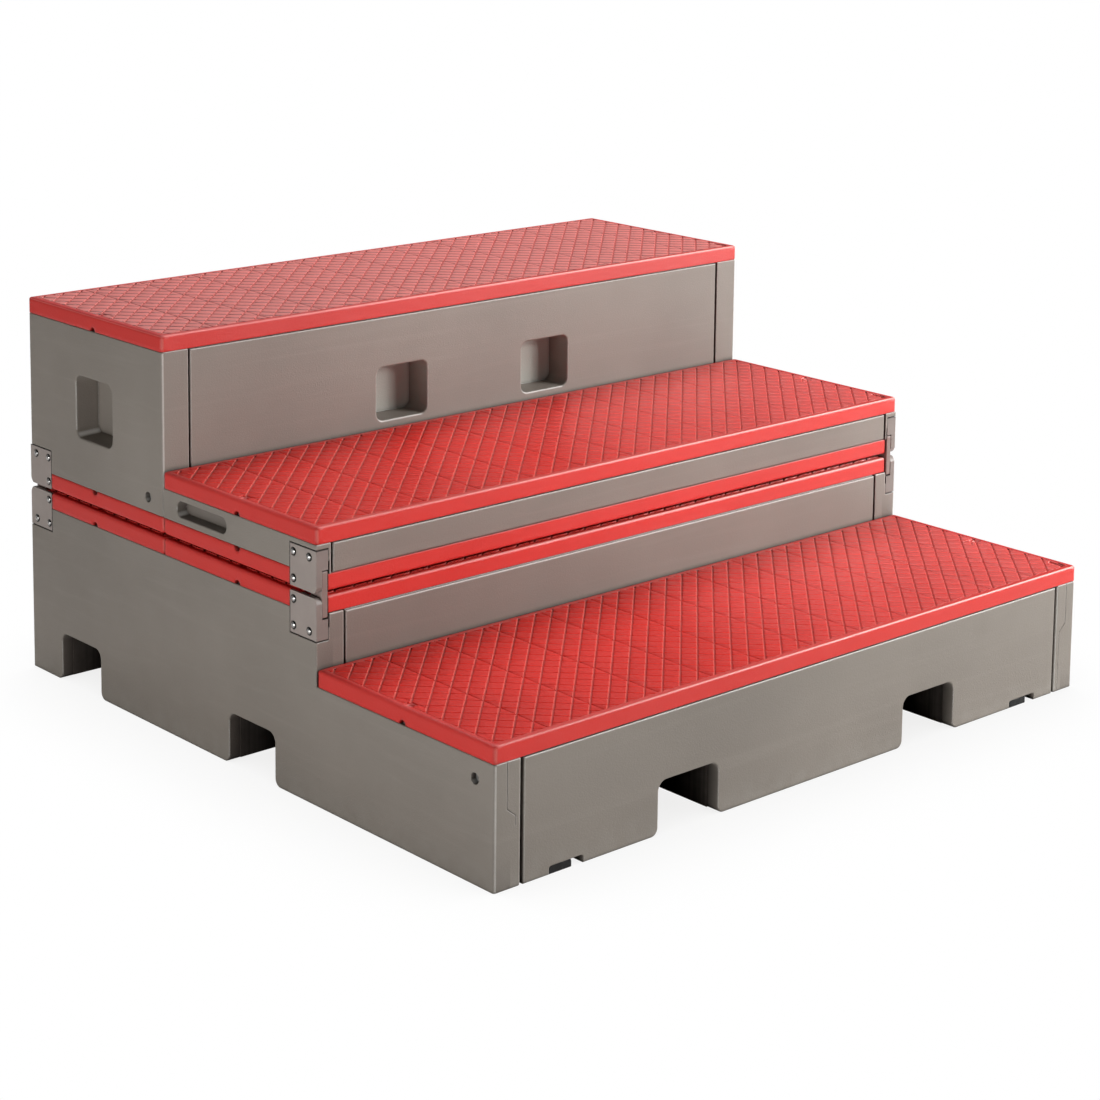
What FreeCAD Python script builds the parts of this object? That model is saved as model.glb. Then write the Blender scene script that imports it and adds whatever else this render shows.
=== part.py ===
import FreeCAD, Part
import os
import math

# Three-step platform: a fixed base carries a middle and a top unit that flip over on
# linked hinges. All parts are in the closed position. X runs along the width, centred
# on 0; Y runs from the front (-) to the rear (+); Z is up from the floor. Left is -X.
# Sizes are in mm. Cutters overshoot the faces they open, mostly by 1.

Vector = FreeCAD.Vector
SIDES = {"left": -1, "right": 1}   # sign of X on each side
ORIGIN = Vector(0, 0, 0)

# ---------------------------------------------------------------- main sizes
WIDTH = 1219.2
TREAD = 381.0             # depth of each step, along Y
HEIGHT = 609.6            # floor to top tread
SEAM = 304.8              # plane about which both flip units mirror
GAP = 7.0                 # clear space between two facing decks at the seam
LOW_TREAD = 200.0         # floor to lower tread
MID_TREAD = 403.5         # floor to middle tread
DECK = 25.0               # deck thickness
UNIT_CLEAR = 1.0          # half of the clearance between neighbouring units
END_T = 47.0              # thickness of the tall end panels
MID_END_T = 25.0          # thickness of the middle unit's end panels
PANEL_T = 32.0            # thickness of the base and top units' cross panels
MID_PANEL_T = 28.0        # thickness of the middle unit's cross panels
WALL = 5.0                # usual skin thickness of the hollow panels
THICK_WALL = 6.0          # skin thickness where the moulding is heavier

X_RIGHT = WIDTH / 2
X_LEFT = -X_RIGHT
Y_FRONT = -1.5 * TREAD    # front plane of the lower step
Y_MIDDLE = -0.5 * TREAD   # front plane of the middle step and front hinge plane
Y_TOP = 0.5 * TREAD       # front plane of the top step
Y_REAR = 1.5 * TREAD      # rear plane and rear hinge plane
Z_BASE = SEAM - GAP / 2   # top face of the base decks
Z_UNIT = SEAM + GAP / 2   # bottom face of the flip units
BASE_H = Z_BASE - DECK    # top of base panels under the high decks
LOW_H = LOW_TREAD - DECK  # top of base panels under the lower tread
INNER = X_RIGHT - END_T   # half width between the tall end panels
CORE_X = INNER - 12.0     # half width of the hollow core of a cross panel

os.makedirs("parts", exist_ok=True)


# ---------------------------------------------------------------- general tools
def box(x_min, x_max, y_min, y_max, z_min, z_max):
    return Part.makeBox(x_max - x_min, y_max - y_min, z_max - z_min,
                        Vector(x_min, y_min, z_min))


def cyl_x(radius, x, y, z, length, sign=1):
    """cylinder from a start point along +X, or along -X when sign is -1"""
    return Part.makeCylinder(radius, length, Vector(x, y, z), Vector(sign, 0, 0))


def near(value, target):
    return abs(value - target) < 1e-4


# Edge tests get the edge's bounding box.
def flat_x(edge, x):
    return near(edge.XMin, x) and near(edge.XMax, x)


def flat_y(edge, y):
    return near(edge.YMin, y) and near(edge.YMax, y)


def flat_z(edge, z):
    return near(edge.ZMin, z) and near(edge.ZMax, z)


def along(edge, axis):
    lengths = [edge.XLength, edge.YLength, edge.ZLength]
    k = "xyz".index(axis)
    return lengths[k] > 1e-3 and all(lengths[i] < 1e-3 for i in range(3) if i != k)


def vertical(edge):
    return along(edge, "z")


def pick(shape, test):
    return [edge for edge in shape.Edges if test(edge.BoundBox)]


def rounded(shape, radius, test):
    edges = pick(shape, test)
    if not edges:
        raise RuntimeError("no edge to round")
    return shape.makeFillet(radius, edges)


def arch(x_min, x_max, y_min, y_max, z_min, z_max, radius, axis):
    """block along an axis with its two upper edges rounded"""
    block = box(x_min, x_max, y_min, y_max, z_min, z_max)
    return rounded(block, radius, lambda edge: along(edge, axis) and near(edge.ZMax, z_max))


def hollow(shape, cavities):
    for cavity in cavities:
        shape = shape.cut(box(*cavity))
    return shape


def clean(shape):
    """merge split faces and unwrap a single solid"""
    merged = shape.removeSplitter()
    return merged.Solids[0] if len(merged.Solids) == 1 else merged


def save(name, shape):
    """write one shape, or a list of shapes as a compound"""
    if not isinstance(shape, Part.Shape):
        shape = Part.makeCompound(shape)
    shape.exportStep("parts/" + name + ".step")


def end_span(side, shallow, deep):
    """sorted X range between two depths inwards from an end face"""
    sign = SIDES[side]
    return sorted((sign * (X_RIGHT - shallow), sign * (X_RIGHT - deep)))


# ---------------------------------------------------------------- hinges and links
# Corner coordinates: x inwards from the end face, y inwards from the hinge face,
# z away from the seam, starting at the deck face.
PIN_Y, PIN_Z = 15.0, 12.5
PIN_R = 4.0
PIN_X = 1.6               # outer end of the pin
PIN_CHAMFER = 0.5
PIN_HEAD_R = 6.6          # flush head on the inner end of each pin
PIN_HEAD_T = 1.9
PIN_SUNK = 0.3            # inner pin end below the link face
HINGE_R = PIN_Z + GAP / 2  # rolling radius: half the distance between the pins
CORNER_R = HINGE_R - 0.5  # rounding of the plate at the seam corner
PLATE = 4.0               # plate thickness
LEG_Y, LEG_Z = 62.0, 61.5  # length and height of the side leg
LEG_X = 20.2              # width of the front leg
LEG_R = 2.0
CAP_Y, CAP_T = 40.0, 3.0  # plate's strip along the seam
BOSS_R = 9.0              # boss around the pin
NOTCH_X = 9.8             # the link's notch is open towards the middle of the object
NOTCH_Y, NOTCH_Z = 42.0, 32.0
NOSE_R = 4.0
LINK_X = (10.1, 19.9)     # outer and inner face of the link
LINK_EXT = 18.0           # link length beyond each pin
LINK_PLAY = 0.5           # link set back from the faces along Y
LINK_BACK_R, LINK_FACE_R, LINK_EDGE_R = 9.0, 2.5, 0.8
OUTLINE = 0.9             # clearance around each inset plate
OUTLINE_Z = 1.6           # the same, along the edge away from the seam
RIVETS = [(17.0, 50.0), (53.5, 50.0), (53.5, 11.5)]   # y, z
RIVET_R = 3.0
RIVET_HOLE_R = RIVET_R + 0.05
HEAD_R, HEAD_H = 5.6, 2.8


def place(shape, side, face, level):
    """move a part from corner coordinates to its corner"""
    placed = shape.copy()
    if side == "right":
        placed = placed.mirror(ORIGIN, Vector(1, 0, 0))
    if face == "rear":
        placed = placed.mirror(ORIGIN, Vector(0, 1, 0))
    if level == "base":
        placed = placed.mirror(ORIGIN, Vector(0, 0, 1))
    placed.translate(Vector(SIDES[side] * X_RIGHT,
                            Y_MIDDLE if face == "front" else Y_REAR,
                            {"base": Z_BASE, "unit": Z_UNIT, "seam": SEAM}[level]))
    return placed


def hinge_plate():
    side_leg = box(0, PLATE, 0, LEG_Y, 0, LEG_Z)
    side_leg = rounded(side_leg, LEG_R, lambda edge: along(edge, "x") and edge.YMin > 10)
    front_leg = box(0, LEG_X, 0, PLATE, 0, LEG_Z)
    cap = box(0, NOTCH_X, 0, CAP_Y, 0, CAP_T)
    boss = cyl_x(BOSS_R, PLATE - 0.5, PIN_Y, PIN_Z, NOTCH_X - PLATE + 0.5)
    plate = side_leg.fuse([front_leg, cap, boss])
    plate = plate.cut(box(NOTCH_X, LEG_X + 1, -1, NOTCH_Y, -1, NOTCH_Z))
    # material outside the rolling radius at the seam corner
    corner = box(-1, LEG_X + 1, -1, PIN_Y, -1, PIN_Z)
    plate = plate.cut(corner.cut(cyl_x(CORNER_R, -2, PIN_Y, PIN_Z, LEG_X + 4)))
    # soft corner where the narrow part of the front leg meets the seam
    nose_x = NOTCH_X - NOSE_R
    nose = box(nose_x, NOTCH_X + 1, -1, NOTCH_Y, -1, NOSE_R)
    round_bar = Part.makeCylinder(NOSE_R, 45.0, Vector(nose_x, -2, NOSE_R), Vector(0, 1, 0))
    plate = plate.cut(nose.cut(round_bar))
    plate = plate.cut(cyl_x(PIN_R + 0.02, 1.5, PIN_Y, PIN_Z, LEG_X))
    for y, z in RIVETS:
        plate = plate.cut(cyl_x(RIVET_HOLE_R, -1, y, z, PLATE + 2))
        plate = plate.cut(cyl_x(HEAD_R + 0.9, -1, y, z, 1.9))
    return clean(plate)


def hinge_pocket():
    """material removed from decks and end panels for one plate and the link's sweep"""
    z_max = LEG_Z + OUTLINE_Z
    side_leg = box(-1, PLATE, -1, LEG_Y + OUTLINE, -2, z_max)
    sweep = box(-1, LEG_X + 2.6, -1, 41.0, -2, 44.5)
    front_leg = box(-1, LEG_X + OUTLINE, -1, PLATE + OUTLINE, -2, z_max)
    pocket = side_leg.fuse([sweep, front_leg])
    for y, z in RIVETS:
        pocket = pocket.fuse(cyl_x(RIVET_HOLE_R, 0, y, z, 20.5))
    return pocket


def rivet(y, z):
    ball_r = (HEAD_R ** 2 + HEAD_H ** 2) / (2 * HEAD_H)
    ball = Part.makeSphere(ball_r, Vector(ball_r - HEAD_H, y, z))
    dome = ball.common(box(-HEAD_H - 1, 0, y - 10, y + 10, z - 10, z + 10))
    seat = cyl_x(HEAD_R, 0, y, z, 0.9)
    return clean(dome.fuse([seat, cyl_x(RIVET_R, -0.2, y, z, 20.2)]))


def hinge_pin():
    end_x = LINK_X[1] - PIN_SUNK
    pin = cyl_x(PIN_R, PIN_X, PIN_Y, PIN_Z, end_x - PIN_X)
    pin = pin.makeChamfer(PIN_CHAMFER, pick(pin, lambda edge: flat_x(edge, PIN_X)))
    # flush head in the link's counterbore keeps the link on the pin
    return clean(pin.fuse(cyl_x(PIN_HEAD_R, end_x - PIN_HEAD_T, PIN_Y, PIN_Z, PIN_HEAD_T)))


def link():
    """bar joining two pins across the seam; its z starts at the seam"""
    outer, inner = LINK_X
    half = HINGE_R + LINK_EXT
    bar = box(outer, inner, LINK_PLAY, PIN_Y + PIN_Z - LINK_PLAY, -half, half)
    bar = rounded(bar, LINK_BACK_R, lambda edge: along(edge, "x") and edge.YMin > PIN_Y)
    bar = rounded(bar, LINK_FACE_R, lambda edge: along(edge, "x")
                  and near(edge.YMin, LINK_PLAY))
    bar = rounded(bar, LINK_EDGE_R, lambda edge: flat_x(edge, outer) or flat_x(edge, inner))
    for z in (-HINGE_R, HINGE_R):
        bar = bar.cut(cyl_x(PIN_R + 0.06, outer - 1, PIN_Y, z, 12))
        bar = bar.cut(cyl_x(PIN_HEAD_R + 0.3, inner - 2.4, PIN_Y, z, 4))
    return bar


HINGE_PLATE = hinge_plate()
HINGE_POCKET = hinge_pocket()
HINGE_RIVETS = [rivet(y, z) for y, z in RIVETS]
HINGE_PIN = hinge_pin()
LINK = link()


def save_hinges(prefix, face, level):
    for side in SIDES:
        save("%s_hinge_plate_%s" % (prefix, side), place(HINGE_PLATE, side, face, level))
    save(prefix + "_hinge_pins", [place(HINGE_PIN, side, face, level) for side in SIDES])


def save_rivets(prefix, faces, level):
    save(prefix + "_hinge_rivets", [place(one, side, face, level) for face in faces
                                    for side in SIDES for one in HINGE_RIVETS])


# ---------------------------------------------------------------- decks
SET_BACK = 3.0            # deck set-back on the hinge side
SEAM_R = 4.0              # edge rounding of the facing decks
TREAD_R = 3.0             # edge rounding of the other decks
DECK_CORNER_R = 5.0
DECK_BACK_R = 1.6
FIELD = 1.6               # depth of the walking field below the smooth border
BORDER = 10.0             # width of that border
FIELD_R = 6.0
RIM_NOTCH_R, RIM_NOTCH_D = 7.0, 10.0
DIMPLE_R, DIMPLE_IN, DIMPLE_OUT = 8.5, 14.0, 4.0   # centre in from the end, above the face
CORE_END, CORE_SIDE, CORE_SKIN = 30.0, 9.0, 4.5    # walls around the hollow core


def deck(y_min, y_max, z_min, up=True, hinge=None):
    """hollow tread deck; up is True when the walking face is the upper one"""
    z_max = z_min + DECK
    y_mid = (y_min + y_max) / 2
    if hinge == "front":
        y_min += SET_BACK
    if hinge == "rear":
        y_max -= SET_BACK
    face, back = (z_max, z_min) if up else (z_min, z_max)
    body = box(X_LEFT, X_RIGHT, y_min, y_max, z_min, z_max)
    body = rounded(body, DECK_CORNER_R, vertical)
    body = rounded(body, SEAM_R if hinge else TREAD_R, lambda edge: flat_z(edge, face))
    body = rounded(body, DECK_BACK_R, lambda edge: flat_z(edge, back))
    # slightly sunk walking field inside a smooth border
    field_z = (z_max - FIELD, z_max + 1) if up else (z_min - 1, z_min + FIELD)
    field = box(X_LEFT + BORDER, X_RIGHT - BORDER, y_min + BORDER, y_max - BORDER, *field_z)
    body = body.cut(rounded(field, FIELD_R, vertical))
    # locating notch in each end of the rim and a dimple in the walking face beside it
    for side, sign in SIDES.items():
        notch_x = end_span(side, -1, RIM_NOTCH_D)[0]
        body = body.cut(cyl_x(RIM_NOTCH_R, notch_x, y_mid, back, RIM_NOTCH_D + 1))
        dimple_z = face + (DIMPLE_OUT if up else -DIMPLE_OUT)
        dimple = Vector(sign * (X_RIGHT - DIMPLE_IN), y_mid, dimple_z)
        body = body.cut(Part.makeSphere(DIMPLE_R, dimple))
    # short slot near the front right corner of each exposed walking face
    if up and hinge is None:
        slot = box(X_RIGHT - 18.5, X_RIGHT - 14.0, y_min + 9.0, y_min + 39.0,
                   z_max - 2.6, z_max + 1)
        body = body.cut(rounded(slot, 2.0, vertical))
    # closed hollow core
    body = body.cut(box(X_LEFT + CORE_END, X_RIGHT - CORE_END,
                        y_min + CORE_SIDE, y_max - CORE_SIDE,
                        z_min + CORE_SKIN, z_max - CORE_SKIN))
    if hinge:
        for side in SIDES:
            body = body.cut(place(HINGE_POCKET, side, hinge, "base" if up else "unit"))
    return clean(body)


def add_bosses(shape, side, spots):
    """half-round bosses on an end panel that sit in the rim notches of the decks;
    each spot is the Y, the Z and whether the boss points up"""
    for y, z, up in spots:
        x = end_span(side, 4.5, 9.5)[0]
        half_z = (z - 1.0, z + 6) if up else (z - 6, z + 1.0)
        boss = cyl_x(3.4, x, y, z, 5.0)
        shape = shape.fuse(boss.common(box(x - 1, x + 9, y - 6, y + 6, *half_z)))
    return shape


# ---------------------------------------------------------------- cross panels
SHADOW, SHADOW_D = 4.0, 10.0   # width and depth of the gap beside the end panels
RELIEF, RELIEF_D = 1.6, 4.0    # height and depth of the line between panel and deck
PANEL_EDGE_R = 2.0
CROSS_NOTCHES = [(-255.0, 116.0, 77.0), (255.0, 116.0, 77.0)]   # centre X, width, height
NOTCH_R = 15.0
FOOT_R = 12.0             # rounding where a floor notch meets the floor
CAVITY_Z = 88.0           # bottom of the cavities above the floor notches
PAD_X, PAD_SLOT_W, PAD_SLOT_H = 482.6, 62.0, 12.0
PAD_SLOT_R = 4.0


def cross_panel(y_min, thickness, z_min, z_max, end_thickness, outward, notches=()):
    """panel running along X between two end panels. outward gives the visible
    face: -1 when it looks to the front, 1 to the rear, 0 when it is hidden"""
    y_max = y_min + thickness
    half = X_RIGHT - end_thickness
    panel = box(-half, half, y_min, y_max, z_min, z_max)
    for x, width, height in notches:
        panel = panel.cut(arch(x - width / 2, x + width / 2, y_min - 1, y_max + 1,
                               z_min - 1, z_min + height, NOTCH_R, "y"))
    if notches:
        panel = rounded(panel, FOOT_R, lambda edge: along(edge, "y")
                        and near(edge.ZMax, z_min) and abs(edge.XMin) < half - 1)
    if outward:
        face = y_min if outward < 0 else y_max
        shadow_y = sorted((face + outward, face - outward * SHADOW_D))
        relief_y = sorted((face + outward, face - outward * RELIEF_D))
        for sign in (-1, 1):
            shadow_x = sorted((sign * (half - SHADOW), sign * (half + 1)))
            panel = panel.cut(box(*shadow_x, *shadow_y, z_min - 1, z_max + 1))
        # narrow shadow line between the panel and each deck it meets
        panel = panel.cut(box(-half - 1, half + 1, *relief_y, z_max - RELIEF, z_max + 1))
        if z_min > 1:
            panel = panel.cut(box(-half - 1, half + 1, *relief_y, z_min - 1, z_min + RELIEF))
        panel = rounded(panel, PANEL_EDGE_R, lambda edge: flat_y(edge, face)
                        and (along(edge, "x") or vertical(edge) or edge.ZLength > 1)
                        and edge.XLength < 2 * half)
    return panel


def base_panel(y_min, height, outward, pads=False, front_skin=WALL):
    """hollow cross panel standing on the floor; pads adds the slots for the feet"""
    y_max = y_min + PANEL_T
    panel = cross_panel(y_min, PANEL_T, 0, height, END_T, outward, CROSS_NOTCHES)
    if pads:
        for x in (-PAD_X, PAD_X):
            panel = panel.cut(arch(x - PAD_SLOT_W / 2, x + PAD_SLOT_W / 2,
                                   y_min - 1, y_max + 1, -1, PAD_SLOT_H, PAD_SLOT_R, "y"))
    cavity = (-CORE_X, CORE_X, y_min + front_skin, y_max - WALL, CAVITY_Z, height - THICK_WALL)
    return clean(hollow(panel, [cavity]))


# ---------------------------------------------------------------- hand pockets
CUP_ZONE = 70.0           # the mouth edges of a cup lie this close to its centre


def rounded_wire(width, height, radius, x):
    """rounded rectangle, width along Y and height along Z, in the plane at x"""
    corner_y, corner_z = width / 2 - radius, height / 2 - radius
    arcs = []
    for sign_y, sign_z, start in ((1, 1, 0), (-1, 1, 90), (-1, -1, 180), (1, -1, 270)):
        angles = [math.radians(start + k) for k in (0, 45, 90)]
        arcs.append([Vector(x, sign_y * corner_y + radius * math.cos(angle),
                            sign_z * corner_z + radius * math.sin(angle))
                     for angle in angles])
    edges = []
    for i, points in enumerate(arcs):
        edges.append(Part.Arc(*points).toShape())
        edges.append(Part.makeLine(points[2], arcs[(i + 1) % 4][0]))
    return Part.Wire(edges)


def pocket_cup(width, height, radius, depth, taper):
    """rounded, drafted pocket tool: mouth at the origin plane, depth along +X"""
    flare = 2 * taper / depth
    mouth = rounded_wire(width + flare, height + flare, radius, -1.0)
    floor = rounded_wire(width - 2 * taper, height - 2 * taper,
                         max(radius - taper * 0.5, 4), depth)
    return Part.makeLoft([mouth, floor], True, True)


def end_cup(cup, side, y, z):
    """pocket tool entering an end face"""
    tool = cup.copy()
    if side == "right":
        tool = tool.mirror(ORIGIN, Vector(1, 0, 0))
    tool.translate(Vector(SIDES[side] * X_RIGHT, y, z))
    return tool


def around(low, high, centre):
    return low > centre - CUP_ZONE and high < centre + CUP_ZONE


# ---------------------------------------------------------------- tie rods
ROD_R = 5.0
ROD_HEAD_R, ROD_HEAD_T = 7.0, 4.5
ROD_KEY_R, ROD_KEY_Z = 3.2, 1.5   # hexagon socket: corner radius, floor above head base
ROD_RECESS_R, ROD_RECESS = 8.0, 12.0
ROD_BASE = (Y_FRONT + 39.0, 146.0)           # Y, Z
ROD_TOP = (Y_TOP + 41.0, Z_UNIT + 48.0)


def rod_cut(shape, side, spot):
    sign = SIDES[side]
    recess = cyl_x(ROD_RECESS_R, sign * (X_RIGHT + 1), *spot, ROD_RECESS + 1, -sign)
    hole = cyl_x(ROD_R + 0.1, sign * X_RIGHT, *spot, END_T + 1, -sign)
    return shape.cut(recess).cut(hole)


def tie_rod(spot):
    y, z = spot
    rod = cyl_x(ROD_R, X_LEFT + ROD_RECESS, y, z, WIDTH - 2 * ROD_RECESS)
    for sign in (-1, 1):
        x = sign * (X_RIGHT - ROD_RECESS)
        head = cyl_x(ROD_HEAD_R, x, y, z, ROD_HEAD_T, sign)
        corners = []
        for k in range(7):
            angle = math.radians(60 * k)
            corners.append(Vector(x + sign * ROD_KEY_Z, y + ROD_KEY_R * math.cos(angle),
                                  z + ROD_KEY_R * math.sin(angle)))
        key = Part.Face(Part.makePolygon(corners)).extrude(Vector(sign * 4, 0, 0))
        rod = rod.fuse(head.cut(key))
    return clean(rod)


# ---------------------------------------------------------------- base
SIDE_NOTCHES = [(-33.5, 114.0, 78.0), (429.0, 114.0, 78.0)]   # centre Y, width, height
END_CORNER_R = 5.0        # upright corners of the tall end panels
BASE_EDGE_R = 1.8         # upper edges of the base end panels
SIDE_NOTCH_EDGE_R = 2.0
END_MARGIN = 20.0         # the side notches lie further than this from front and rear
GROOVE_W, GROOVE_D = 0.9, 0.8
GROOVE_UPPER, GROOVE_LOWER = 22.0, 37.0   # groove's distance in from the end face


def parting_grooves(side):
    """fine groove, in three strokes, on the narrow front face of a base end panel"""
    sign = SIDES[side]
    bend_z = LOW_H * 0.63
    lower_z = bend_z - 12.0
    # only the right groove runs down to the floor
    end_z = -1 if side == "right" else lower_z - 14.0
    # distance in from the end face, Z
    points = [(GROOVE_UPPER, LOW_H + 1), (GROOVE_UPPER, bend_z),
              (GROOVE_LOWER, lower_z), (GROOVE_LOWER, end_z)]
    grooves = []
    for (depth_a, z_a), (depth_b, z_b) in zip(points[:-1], points[1:]):
        start_x, end_x = sign * (X_RIGHT - depth_a), sign * (X_RIGHT - depth_b)
        length = math.hypot(end_x - start_x, z_b - z_a)
        groove = Part.makeBox(GROOVE_W, GROOVE_D + 1, length, Vector(-GROOVE_W / 2, -1, 0))
        angle = math.degrees(math.atan2(end_x - start_x, z_b - z_a))
        groove.rotate(ORIGIN, Vector(0, 1, 0), angle)
        groove.translate(Vector(start_x, Y_FRONT, z_a))
        grooves.append(groove)
    return grooves


def base_end(side):
    sign = SIDES[side]
    outer, inner = sign * X_RIGHT, sign * INNER
    # stepped outline: Y, Z
    outline = [(Y_FRONT, 0), (Y_REAR, 0), (Y_REAR, BASE_H), (Y_MIDDLE, BASE_H),
               (Y_MIDDLE, LOW_H), (Y_FRONT, LOW_H), (Y_FRONT, 0)]
    wire = Part.makePolygon([Vector(outer, y, z) for y, z in outline])
    panel = Part.Face(wire).extrude(Vector(-sign * END_T, 0, 0))
    panel = rounded(panel, END_CORNER_R, lambda edge: vertical(edge)
                    and near(edge.YMin, Y_FRONT))
    panel = rounded(panel, BASE_EDGE_R, lambda edge: flat_z(edge, LOW_H)
                    and not flat_x(edge, inner) and not flat_y(edge, Y_MIDDLE))
    panel = rounded(panel, BASE_EDGE_R, lambda edge: flat_z(edge, BASE_H)
                    and not flat_x(edge, inner))
    for y, width, height in SIDE_NOTCHES:
        panel = panel.cut(arch(-700, 700, y - width / 2, y + width / 2, -1, height,
                               NOTCH_R, "x"))

    def off_ends(edge):
        return edge.YMin > Y_FRONT + END_MARGIN and edge.YMax < Y_REAR - END_MARGIN

    panel = rounded(panel, FOOT_R, lambda edge: along(edge, "x") and near(edge.ZMax, 0)
                    and off_ends(edge))
    panel = rounded(panel, SIDE_NOTCH_EDGE_R, lambda edge: flat_x(edge, outer)
                    and edge.ZMin < 80 and edge.ZMax < 90 and off_ends(edge))
    core = end_span(side, THICK_WALL, END_T - THICK_WALL)
    panel = hollow(panel, [(*core, Y_FRONT + 62, Y_MIDDLE - 8, 12, LOW_H - 8),
                           (*core, Y_MIDDLE + 8, Y_REAR - 75, CAVITY_Z, BASE_H - 60)])
    panel = rod_cut(panel, side, ROD_BASE)
    for groove in parting_grooves(side):
        panel = panel.cut(groove)
    for face in ("front", "rear"):
        panel = panel.cut(place(HINGE_POCKET, side, face, "base"))
    return clean(add_bosses(panel, side, [((Y_FRONT + Y_MIDDLE) / 2, LOW_H, True),
                                          (0.0, BASE_H, True), (TREAD, BASE_H, True)]))


def lower_tread_ledger():
    """strip on the front of the riser under the rear edge of the lower tread"""
    y_min, z_min = Y_MIDDLE - 22, LOW_H - 24
    strip = box(-INNER + 4, INNER - 4, y_min, Y_MIDDLE, z_min, LOW_H)
    return clean(strip.makeChamfer(12.0, pick(
        strip, lambda edge: along(edge, "x") and near(edge.ZMax, z_min)
        and near(edge.YMax, y_min))))


def rubber_feet():
    length = 29.0         # along Y
    feet = []
    for x in (-PAD_X, PAD_X):
        for y in (Y_FRONT + 0.5, Y_REAR - 0.5 - length):
            foot = arch(x - 30.7, x + 10.3, y, y + length, 0, PAD_SLOT_H, 4.2, "y")
            foot = rounded(foot, 1.5, vertical)
            feet.append(rounded(foot, 1.5, lambda edge: flat_z(edge, 0)))
    return feet


for side in SIDES:
    save("base_end_panel_" + side, base_end(side))
save("base_front_panel", base_panel(Y_FRONT, LOW_H, -1, pads=True))
save("lower_tread_ledger", lower_tread_ledger())
save("base_riser_panel", base_panel(Y_MIDDLE, BASE_H, -1, front_skin=7.0))
save("base_partition", base_panel(Y_TOP - PANEL_T / 2, BASE_H, 0))
save("base_rear_panel", base_panel(Y_REAR - PANEL_T, BASE_H, 1, pads=True))
save("lower_tread_deck", deck(Y_FRONT, Y_MIDDLE - 1.5, LOW_H))
save("base_middle_deck", deck(Y_MIDDLE, Y_TOP - 0.75, BASE_H, hinge="front"))
save("base_rear_deck", deck(Y_TOP + 0.75, Y_REAR, BASE_H, hinge="rear"))
for face in ("front", "rear"):
    save_hinges("base_" + face, face, "base")
save_rivets("base", ("front", "rear"), "base")
save("base_tie_rod", tie_rod(ROD_BASE))
save("rubber_feet", rubber_feet())

# ---------------------------------------------------------------- middle unit
UNIT_EDGE_R = 1.6         # upper and lower edges of the flip units' end panels
UNIT_Z = Z_UNIT + DECK    # underside of the flip units' panels
MID_Y = (Y_MIDDLE, Y_TOP - UNIT_CLEAR)
MID_Z = (UNIT_Z, MID_TREAD - DECK)
HANDLE_Y, HANDLE_W, HANDLE_H, HANDLE_D = 91.0, 128.0, 25.0, 17.0
HANDLE_EDGE_R = 1.6


def middle_end(side):
    outer = SIDES[side] * X_RIGHT
    inner = SIDES[side] * (X_RIGHT - MID_END_T)
    z_low, z_high = MID_Z
    panel = box(*end_span(side, 0, MID_END_T), *MID_Y, *MID_Z)
    panel = rounded(panel, UNIT_EDGE_R, lambda edge: (flat_z(edge, z_low)
                    or flat_z(edge, z_high)) and not flat_x(edge, inner)
                    and not flat_y(edge, MID_Y[1]))
    cup = pocket_cup(HANDLE_W, HANDLE_H, HANDLE_H / 2 - 0.8, HANDLE_D, 1.5)
    panel = panel.cut(end_cup(cup, side, HANDLE_Y, (z_low + z_high) / 2))
    panel = rounded(panel, HANDLE_EDGE_R, lambda edge: flat_x(edge, outer)
                    and around(edge.YMin, edge.YMax, HANDLE_Y))
    panel = panel.cut(place(HINGE_POCKET, side, "front", "unit"))
    y_mid = sum(MID_Y) / 2
    return clean(add_bosses(panel, side, [(y_mid, z_high, True), (y_mid, z_low, False)]))


def middle_panel(y_min, outward):
    """front or rear panel, with the thicker skin on its visible side"""
    front_skin, rear_skin = (THICK_WALL, WALL) if outward < 0 else (WALL, THICK_WALL)
    panel = cross_panel(y_min, MID_PANEL_T, *MID_Z, MID_END_T, outward)
    return clean(hollow(panel, [(X_LEFT + 60, X_RIGHT - 60, y_min + front_skin,
                                 y_min + MID_PANEL_T - rear_skin,
                                 MID_Z[0] + WALL, MID_Z[1] - WALL)]))


for side in SIDES:
    save("middle_end_panel_" + side, middle_end(side))
save("middle_front_panel", middle_panel(MID_Y[0], -1))
save("middle_rear_panel", middle_panel(MID_Y[1] - MID_PANEL_T, 1))
save("middle_upper_deck", deck(*MID_Y, MID_Z[1]))
save("middle_lower_deck", deck(*MID_Y, Z_UNIT, up=False, hinge="front"))
save_hinges("middle", "front", "unit")
save_rivets("middle", ["front"], "unit")

# ---------------------------------------------------------------- top unit
TOP_Y = (Y_TOP + UNIT_CLEAR, Y_REAR)
TOP_Z = (UNIT_Z, HEIGHT - DECK)
CUP_Z = (Z_UNIT + HEIGHT) / 2
CUP_R, CUP_TAPER, CUP_EDGE_R = 14.0, 3.0, 2.5
END_CUP_W, END_CUP_H, END_CUP_D = 104.0, 100.0, 40.0
FRONT_CUP_W, FRONT_CUP_H, FRONT_CUP_D = 104.0, 88.0, 44.0
CUP_X = 153.0             # front cups' distance from the centre


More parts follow.
